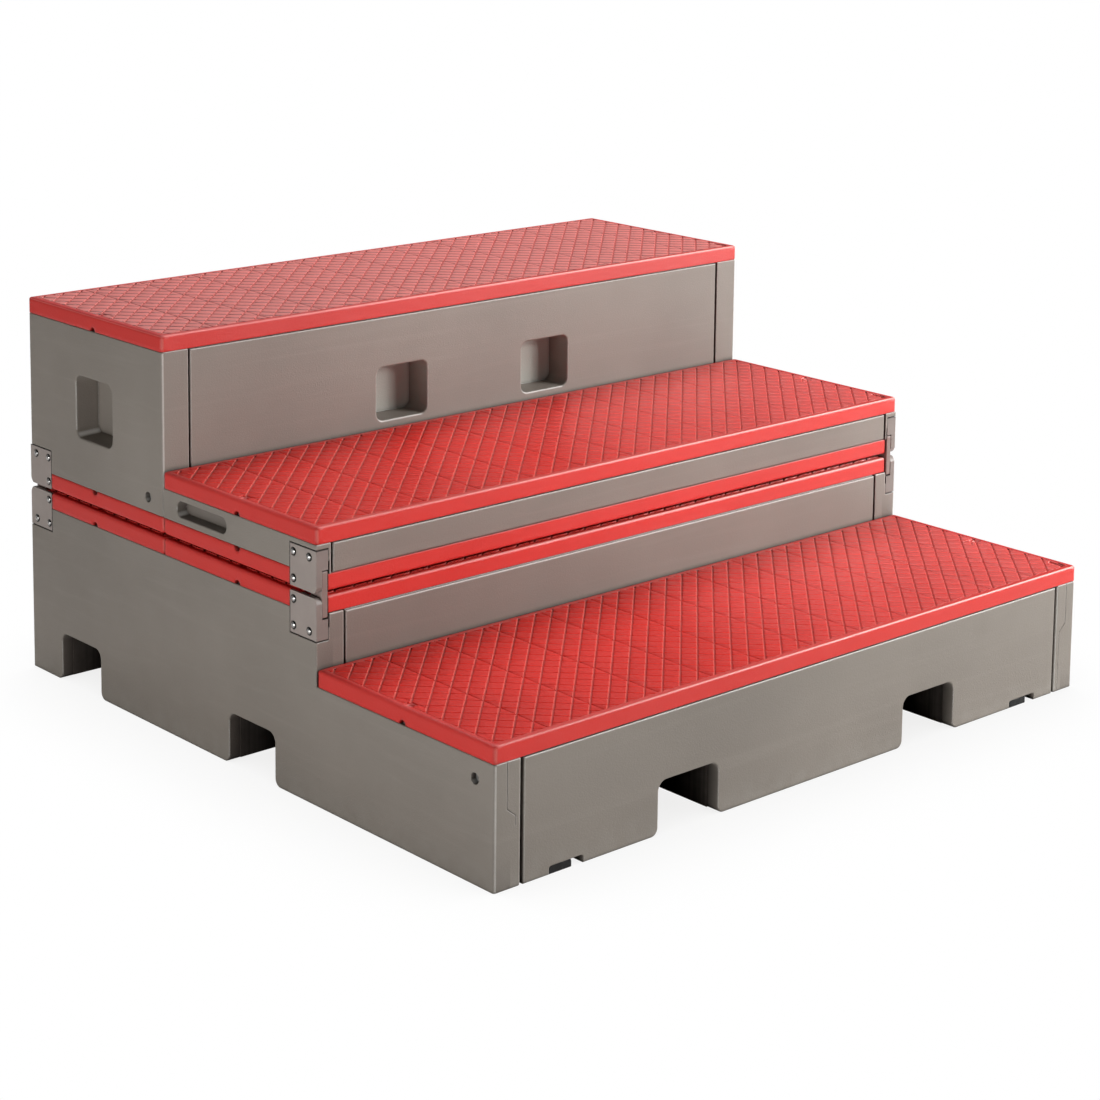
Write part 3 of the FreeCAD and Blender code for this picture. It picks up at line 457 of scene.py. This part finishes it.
def inset(poly, d, rim, cross=1.0, fine=0.42):
    """inward offset of a convex, anticlockwise polygon, keeping its corner count;
    edges that run front to back move by the finer share of d, edges on the rim of
    the walking field by less still, and edges of the second diagonal by cross * d"""
    k = len(poly)
    lines = []
    for i in range(k):
        a, b = poly[i], poly[(i + 1) % k]
        ex, ey = b[0] - a[0], b[1] - a[1]
        ln = math.hypot(ex, ey)
        nx, ny = ey / ln, -ex / ln
        off = d
        if abs(ex) < 0.08 * ln:
            off = d * (0.12 if min(abs(a[0] - rim[0]), abs(a[0] - rim[1])) < 1e-3 else fine)
        elif abs(ey) < 0.08 * ln:
            off = d * (0.12 if min(abs(a[1] - rim[2]), abs(a[1] - rim[3])) < 1e-3 else fine)
        elif ex * ey < 0:
            off = d * cross
        lines.append((nx, ny, nx * a[0] + ny * a[1] - off, ex / ln, ey / ln))
    out = []
    for i in range(k):
        n1, n2 = lines[i - 1], lines[i]
        det = n1[0] * n2[1] - n1[1] * n2[0]
        if abs(det) < 1e-6:
            return None
        x = (n1[2] * n2[1] - n1[1] * n2[2]) / det
        y = (n1[0] * n2[2] - n1[2] * n2[0]) / det
        out.append((x, y))
    for i in range(k):
        a, b = out[i], out[(i + 1) % k]
        if (b[0] - a[0]) * lines[i][3] + (b[1] - a[1]) * lines[i][4] < 1e-4:
            return None
    return out


def shrink(poly, d):
    """the polygon scaled towards its middle by about d, for pieces too small to inset"""
    k = len(poly)
    mx, my = sum(q[0] for q in poly) / k, sum(q[1] for q in poly) / k
    around = sum(math.hypot(poly[i][0] - poly[i - 1][0], poly[i][1] - poly[i - 1][1]) for i in range(k))
    f = max(0.25, 1.0 - d * around / (2 * area(poly)))
    return [(mx + (q[0] - mx) * f, my + (q[1] - my) * f) for q in poly]


def pads(name, node, body, up, yc, hinge=0.0):
    """hinge: 0, or the Y of the hinge face, negative side first; pads keep clear of its pockets"""
    lo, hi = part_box(node)
    z0 = (hi.z - FIELD) if up else (lo.z + FIELD)
    walking = name in ("lower_tread_pads", "middle_upper_pads", "top_upper_pads")
    s = 1 if up else -1
    x0, x1 = lo.x + MARGIN, hi.x - MARGIN
    y0, y1 = lo.y + MARGIN, hi.y - MARGIN
    rim = (x0, x1, y0, y1)
    cross = 1.15 if name == "top_upper_pads" else 0.70
    # the decks that face each other when closed have taller pads
    height = HEIGHT if walking else HEIGHT + 0.0012
    holes = [(lo.x + DIMPLE[0], yc), (hi.x - DIMPLE[0], yc)]
    step = PITCH / math.sqrt(2)
    h = (step - 0.0012) / 2
    r2 = 1 / math.sqrt(2)
    verts, faces = [], []
    reach = int((1.3 / step)) + 2
    cuts = [k * CROSS for k in range(-6, 7)]
    for i in range(-reach, reach + 1):
        for j in range(-reach, reach + 1):
            cx = (i + j) * step * r2
            cy = yc + (i - j) * step * r2
            if not (x0 - step < cx < x1 + step and y0 - step < cy < y1 + step):
                continue
            quad = []
            for a, b in ((h, h), (-h, h), (-h, -h), (h, -h)):
                quad.append((cx + (a + b) * r2, cy + (a - b) * r2))
            if area(quad) < 0:
                quad.reverse()
            for nx, ny, d in ((1, 0, x1), (-1, 0, -x0), (0, 1, y1), (0, -1, -y0)):
                quad = clip(quad, nx, ny, d)
                if len(quad) < 3:
                    break
            if len(quad) < 3:
                continue
            parts = [quad]
            for c in cuts:
                nxt = []
                for p in parts:
                    if min(q[0] for q in p) < c - 1e-4 and max(q[0] for q in p) > c + 1e-4:
                        nxt.append(clip(p, 1, 0, c - 0.0004))
                        nxt.append(clip(p, -1, 0, -(c + 0.0004)))
                    else:
                        nxt.append(p)
                parts = [p for p in nxt if len(p) >= 3]
            if walking:
                a0, a1, b0, b1 = SLOT[0], SLOT[1], lo.y + SLOT[2], lo.y + SLOT[3]
                nxt = []
                for p in parts:
                    if (max(q[0] for q in p) > a0 and min(q[0] for q in p) < a1
                            and max(q[1] for q in p) > b0 and min(q[1] for q in p) < b1):
                        left = clip(p, 1, 0, a0)
                        rest = clip(p, -1, 0, -a0)
                        right = clip(rest, -1, 0, -a1)
                        rest = clip(rest, 1, 0, a1)
                        nxt += [left, right, clip(rest, 0, 1, b0), clip(rest, 0, -1, -b1)]
                    else:
                        nxt.append(p)
                parts = [p for p in nxt if len(p) >= 3]
            if hinge:
                xe, ye = HINGE_CLEAR
                nxt = []
                for p in parts:
                    if hinge < 0:
                        near = [clip(p, 0, 1, hinge + ye), clip(p, 0, -1, -(hinge + ye))]
                    else:
                        near = [clip(p, 0, -1, -(hinge - ye)), clip(p, 0, 1, hinge - ye)]
                    if max(abs(q[0]) for q in p) > xe and len(near[0]) >= 3:
                        nxt.append(near[1])
                        inner = near[0]
                        for nx in (1, -1):
                            if len(inner) >= 3:
                                inner = clip(inner, nx, 0, xe)
                        nxt.append(inner)
                    else:
                        nxt.append(p)
                parts = [p for p in nxt if len(p) >= 3]
            # keep the round dimple beside each end clear
            for hx, hy in holes:
                nxt = []
                for p in parts:
                    if min(math.hypot(q[0] - hx, q[1] - hy) for q in p) > 0.05:
                        nxt.append(p)
                        continue
                    rest = p
                    for k in range(8):
                        t = math.radians(45 * k)
                        c, n = math.cos(t), math.sin(t)
                        d = c * hx + n * hy + DIMPLE[1]
                        if len(rest) < 3 or max(c * q[0] + n * q[1] for q in rest) <= d:
                            continue
                        if min(c * q[0] + n * q[1] for q in rest) >= d:
                            nxt.append(rest)
                            rest = []
                            break
                        inside = clip(rest, c, n, d)
                        if len(inside) >= 3 and all(
                                max(math.cos(math.radians(45 * j)) * q[0] + math.sin(math.radians(45 * j)) * q[1]
                                    for q in p) > math.cos(math.radians(45 * j)) * hx
                                + math.sin(math.radians(45 * j)) * hy - DIMPLE[1] for j in range(8)):
                            nxt.append(clip(rest, -c, -n, -d))
                            rest = inside
                    else:
                        if len(rest) >= 3:
                            cxm = sum(q[0] for q in rest) / len(rest)
                            cym = sum(q[1] for q in rest) / len(rest)
                            if math.hypot(cxm - hx, cym - hy) > DIMPLE[1]:
                                nxt.append(rest)
                parts = [p for p in nxt if len(p) >= 3]
            for p in parts:
                p = tidy(p)
                if len(p) < 3 or area(p) < 1.2e-5:
                    continue
                rings = [(p, 0.0)]
                ok = True
                for d, z in RINGS:
                    q = inset(p, d, rim, cross)
                    if q is None:
                        ok = False
                        break
                    rings.append((q, z))
                if not ok:
                    rings = [(p, 0.0)] + [(shrink(p, d), z) for d, z in RINGS]
                k = len(p)
                start = len(verts)
                for ring, z in rings:
                    for x, y in ring:
                        verts.append((x, y, z0 + s * (z * height - 0.0001)))
                for r in range(len(rings) - 1):
                    for a in range(k):
                        b = (a + 1) % k
                        f = (start + r * k + a, start + r * k + b, start + (r + 1) * k + b, start + (r + 1) * k + a)
                        faces.append(f if up else f[::-1])
                top = tuple(start + (len(rings) - 1) * k + a for a in range(k))
                faces.append(top if up else top[::-1])
                bot = tuple(start + a for a in range(k))[::-1]
                faces.append(bot if up else bot[::-1])
    me = bpy.data.meshes.new(name)
    me.from_pydata(verts, [], faces)
    me.update()
    for poly in me.polygons:
        poly.use_smooth = True
    me.set_sharp_from_angle(angle=math.radians(50))
    ob = bpy.data.objects.new(name, me)
    scene.collection.objects.link(ob)
    me.materials.append(M_PADS)
    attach(ob, body)
    return ob


pads("lower_tread_pads", "lower_tread_deck", "base", True, -0.381)
pads("base_middle_pads", "base_middle_deck", "base", True, 0.0, -0.1905)
pads("base_rear_pads", "base_rear_deck", "base", True, 0.381, 0.5715)
pads("middle_upper_pads", "middle_upper_deck", "middle_unit", True, 0.0)
pads("middle_lower_pads", "middle_lower_deck", "middle_unit", False, 0.0, -0.1905)
pads("top_upper_pads", "top_upper_deck", "top_unit", True, 0.381)
pads("top_lower_pads", "top_lower_deck", "top_unit", False, 0.381, 0.5715)


# ------------------------------------------------------------------ floor channels
# the notches along the floor lead into closed channels: centre, width, height (see through the panels)
CHANNEL_FRONT = ((-0.255, 0.116, 0.077), (0.255, 0.116, 0.077))
CHANNEL_SIDE = ((-0.0335, 0.114, 0.078), (0.429, 0.114, 0.078))


def channel_grey():
    m = Mat("channel_grey")
    deep = m.math("MINIMUM", m.math("SUBTRACT", 0.5715, m.math("ABSOLUTE", m.axis(1))),
                  m.math("SUBTRACT", 0.6096, m.math("ABSOLUTE", m.axis(0))))
    # painted shade: the channel walls are painted much darker than the panel grey and go nearly black deeper in
    col = m.mix(m.span(m.noise(60, 3), 0.35, 0.7), (0.075, 0.062, 0.053), (0.100, 0.083, 0.072))
    ribs = m.span(m.noise(1.0, 2, 0.5, m.scaled((90.0, 90.0, 0.5))), 0.45, 0.62)
    col = m.mix(m.math("MULTIPLY", ribs, 0.45), col, (0.012, 0.009, 0.008))
    col = m.mix(m.span(deep, 0.022, 0.085), col, (0.0018, 0.0014, 0.0012))
    nrm = m.bump(m.noise(700, 3, 0.6), 0.0004, 0.4)
    m.set(color=col, rough=m.span(m.noise(30, 3), 0.3, 0.7, 0.60, 0.75), normal=nrm,
          spec=m.span(deep, 0.030, 0.085, 0.25, 0.02))
    return m.m


M_CHANNEL = channel_grey()


def arch(width, height, inset_by, radius=0.015, n=6):
    """the outline of a notch, from one foot over the top to the other, moved inwards"""
    w, hgt, r = width / 2 - inset_by, height - inset_by, radius
    pts = [(-w, 0.0042)]
    for k in range(n + 1):
        t = math.pi - math.pi / 2 * k / n
        pts.append((-w + r + r * math.cos(t), hgt - r + r * math.sin(t)))
    for k in range(n + 1):
        t = math.pi / 2 - math.pi / 2 * k / n
        pts.append((w - r + r * math.cos(t), hgt - r + r * math.sin(t)))
    pts.append((w, 0.0042))
    return pts


def channel(name, centre, width, height, face, axis):
    """a closed channel behind a floor notch; axis 'y' for the long panels, 'x' for the ends"""
    edge = 0.5715 if axis == "y" else 0.6096
    d0, d1 = 0.0200, 0.1850
    verts, faces = [], []

    def put(q, depth):
        along = face * (edge - depth)
        verts.append((centre + q[0], along, q[1]) if axis == "y" else (along, centre + q[0], q[1]))

    outer, inner = arch(width, height, 0.0002), arch(width, height, 0.0010)
    k = len(outer)
    for depth in (d0, d1):
        for ring in (outer, inner):
            for q in ring:
                put(q, depth)
    o0, i0, o1, i1 = 0, k, 2 * k, 3 * k
    for a in range(k - 1):
        faces.append((o0 + a, o0 + a + 1, o1 + a + 1, o1 + a))
        faces.append((i0 + a + 1, i0 + a, i1 + a, i1 + a + 1))
        faces.append((o0 + a + 1, o0 + a, i0 + a, i0 + a + 1))
        faces.append((o1 + a, o1 + a + 1, i1 + a + 1, i1 + a))
    for a in (0, k - 1):
        f = (o0 + a, o1 + a, i1 + a, i0 + a)
        faces.append(f if a == 0 else f[::-1])
    start = len(verts)
    for depth in (d1 + 0.0001, d1 + 0.0021):
        for q in outer:
            put(q, depth)
    faces.append(tuple(start + a for a in range(k)))
    faces.append(tuple(start + k + a for a in range(k))[::-1])
    for a in range(k):
        b = (a + 1) % k
        faces.append((start + b, start + a, start + k + a, start + k + b))
    me = bpy.data.meshes.new(name)
    me.from_pydata(verts, [], faces)
    me.update()
    bm = bmesh.new()
    bm.from_mesh(me)
    bmesh.ops.recalc_face_normals(bm, faces=bm.faces)
    bm.to_mesh(me)
    bm.free()
    ob = bpy.data.objects.new(name, me)
    scene.collection.objects.link(ob)
    me.materials.append(M_CHANNEL)
    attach(ob, "base")
    return ob


for k, (c, w, hgt) in enumerate(CHANNEL_FRONT):
    channel("front_channel_%d" % k, c, w, hgt, -1, "y")
    channel("rear_channel_%d" % k, c, w, hgt, 1, "y")
for k, (c, w, hgt) in enumerate(CHANNEL_SIDE):
    channel("left_channel_%d" % k, c, w, hgt, -1, "x")
    channel("right_channel_%d" % k, c, w, hgt, 1, "x")


# ------------------------------------------------------------------ stage
WORLD_LOW, WORLD_HIGH = 0.035, 0.26
floor_mesh = bpy.data.meshes.new("studio_floor")
floor_mesh.from_pydata([(-30, -30, 0), (30, -30, 0), (30, 30, 0), (-30, 30, 0)], [], [(0, 1, 2, 3)])
floor = bpy.data.objects.new("studio_floor", floor_mesh)
scene.collection.objects.link(floor)
fm = Mat("floor_paint")
fcol = fm.mix(fm.span(fm.noise(0.8, 3), 0.3, 0.7), (0.86, 0.86, 0.86), (0.89, 0.89, 0.89))
# grey card on the floor in front of the object
card = fm.math("MULTIPLY", fm.span(fm.axis(1), -0.45, -0.75), fm.span(fm.axis(0), -0.95, -0.45))
fcol = fm.mix(card, fcol, (0.50, 0.49, 0.48))
fm.set(color=fcol, rough=0.85, spec=0.15, normal=fm.bump(fm.noise(60, 2), 0.001, 0.05))
# to the camera the floor is evenly bright white paper with a painted soft contact shadow from ambient occlusion
ao = fm.t.nodes.new("ShaderNodeAmbientOcclusion")
ao.samples = 12
ao.inputs["Distance"].default_value = 0.30
paper = fm.t.nodes.new("ShaderNodeEmission")
fm.link(fm.mix(fm.span(ao.outputs["AO"], 0.05, 0.85), (0.84, 0.835, 0.83), (1.0, 1.0, 1.0)), paper.inputs["Color"])
path = fm.t.nodes.new("ShaderNodeLightPath")
pick_shader = fm.t.nodes.new("ShaderNodeMixShader")
fm.link(path.outputs["Is Camera Ray"], pick_shader.inputs[0])
fm.link(fm.bsdf.outputs[0], pick_shader.inputs[1])
fm.link(paper.outputs[0], pick_shader.inputs[2])
fm.link(pick_shader.outputs[0], fm.out.inputs["Surface"])
floor_mesh.materials.append(fm.m)

# dim studio: light comes from the soft boxes, a little more from the white wall behind
world = bpy.data.worlds.new("studio_world")
scene.world = world
world.use_nodes = True
wt = world.node_tree
wt.nodes.clear()


def wnode(kind, **inputs):
    n = wt.nodes.new(kind)
    for k, v in inputs.items():
        n.inputs[int(k[1:])].default_value = v
    return n


wo = wt.nodes.new("ShaderNodeOutputWorld")
wc = wt.nodes.new("ShaderNodeTexCoord")
dot = wt.nodes.new("ShaderNodeVectorMath")
dot.operation = "DOT_PRODUCT"
wt.links.new(wc.outputs["Generated"], dot.inputs[0])
dot.inputs[1].default_value = Vector((0.0, 1.0, 0.15)).normalized()
ramp = wt.nodes.new("ShaderNodeMapRange")
ramp.interpolation_type = "SMOOTHSTEP"
wt.links.new(dot.outputs["Value"], ramp.inputs["Value"])
ramp.inputs["From Min"].default_value = -0.1
ramp.inputs["From Max"].default_value = 1.0
ramp.inputs["To Min"].default_value = WORLD_LOW
ramp.inputs["To Max"].default_value = WORLD_HIGH
wl = wt.nodes.new("ShaderNodeLightPath")
lit = wnode("ShaderNodeBackground")
lit.inputs["Color"].default_value = (1.0, 1.0, 1.0, 1.0)
wt.links.new(ramp.outputs["Result"], lit.inputs["Strength"])
seen = wt.nodes.new("ShaderNodeBackground")
seen.inputs["Color"].default_value = (1.0, 1.0, 1.0, 1.0)
seen.inputs["Strength"].default_value = 1.0
wm = wt.nodes.new("ShaderNodeMixShader")
wt.links.new(wl.outputs["Is Camera Ray"], wm.inputs[0])
wt.links.new(lit.outputs[0], wm.inputs[1])
wt.links.new(seen.outputs[0], wm.inputs[2])
wt.links.new(wm.outputs[0], wo.inputs["Surface"])


def area_light(name, loc, target, size, power, color=(1, 1, 1)):
    d = bpy.data.lights.new(name, "AREA")
    d.shape = "RECTANGLE"
    d.size, d.size_y = size
    d.energy = power
    d.color = color
    o = bpy.data.objects.new(name, d)
    scene.collection.objects.link(o)
    o.location = loc
    o.rotation_mode = "QUATERNION"
    o.rotation_quaternion = (Vector(target) - Vector(loc)).to_track_quat("-Z", "Y")
    return o


area_light("key_light", (3.0, -3.3, 1.9), (0, 0, 0.35), (1.3, 1.1), 128)
area_light("low_key_light", (3.6, -2.6, 1.0), (0, 0, 0.35), (1.3, 1.1), 85)
area_light("top_light", (0.9, 1.2, 4.0), (0, 0, 0.2), (3.0, 2.6), 105)
area_light("right_top_light", (2.4, -1.6, 2.6), (0.4, -0.4, 0.2), (1.0, 0.9), 36)
spot = bpy.data.lights.new("panel_spot", "SPOT")
spot.energy = 50
spot.spot_size = math.radians(13)
spot.spot_blend = 1.0
spot.shadow_soft_size = 0.12
spot_ob = bpy.data.objects.new("panel_spot", spot)
scene.collection.objects.link(spot_ob)
spot_ob.location = (0.15, -3.5, 1.25)
spot_ob.rotation_mode = "QUATERNION"
spot_ob.rotation_quaternion = (Vector((0.02, 0.19, 0.456)) - Vector((0.15, -3.5, 1.25))).to_track_quat("-Z", "Y")
area_light("left_card", (-2.8, -0.5, 0.25), (-0.6, -0.1, 0.12), (1.6, 0.4), 24)

scene.view_settings.view_transform = "Standard"
scene.view_settings.look = "None"
scene.view_settings.exposure = 0.0
scene.view_settings.gamma = 1.0

# ------------------------------------------------------------------ camera
AZ, EL, ROLL = -41.524, 8.276, 0.567
DIST = 3.920513
AIM = Vector((0.496528 - 0.6096, 0.5 - 0.5715, 0.861823))
FOCAL_PX, CX, CY, SIDE = 2586.341, 531.918, 158.46, 1100.0
a, e = math.radians(AZ), math.radians(EL)
back = Vector((math.sin(a) * math.cos(e), -math.cos(a) * math.cos(e), math.sin(e)))
fwd = -back
right = fwd.cross(Vector((0, 0, 1))).normalized()
upv = right.cross(fwd)
r = math.radians(ROLL)
r2 = right * math.cos(r) + upv * math.sin(r)
u2 = -right * math.sin(r) + upv * math.cos(r)
cam_data = bpy.data.cameras.new("view_camera")
cam = bpy.data.objects.new("view_camera", cam_data)
scene.collection.objects.link(cam)
cam.rotation_mode = "QUATERNION"
cam.location = AIM + back * DIST
cam.rotation_quaternion = Matrix((r2, u2, back)).transposed().to_quaternion()
cam_data.sensor_width = 36.0
cam_data.lens = FOCAL_PX * 36.0 / SIDE
cam_data.clip_start, cam_data.clip_end = 0.1, 100.0
# the lens shift belongs to the main view only, so it drops out when the camera is moved elsewhere
for prop, value in (("shift_x", (SIDE / 2 - CX) / SIDE), ("shift_y", (CY - SIDE / 2) / SIDE)):
    setattr(cam_data, prop, value)
    drv = cam_data.driver_add(prop).driver
    drv.type = "SCRIPTED"
    var = drv.variables.new()
    var.name = "x"
    var.type = "SINGLE_PROP"
    var.targets[0].id_type = "OBJECT"
    var.targets[0].id = cam
    var.targets[0].data_path = "location[0]"
    drv.expression = "%.6f if abs(x - (%.6f)) < 0.002 else 0.0" % (value, cam.location.x)
scene.camera = cam
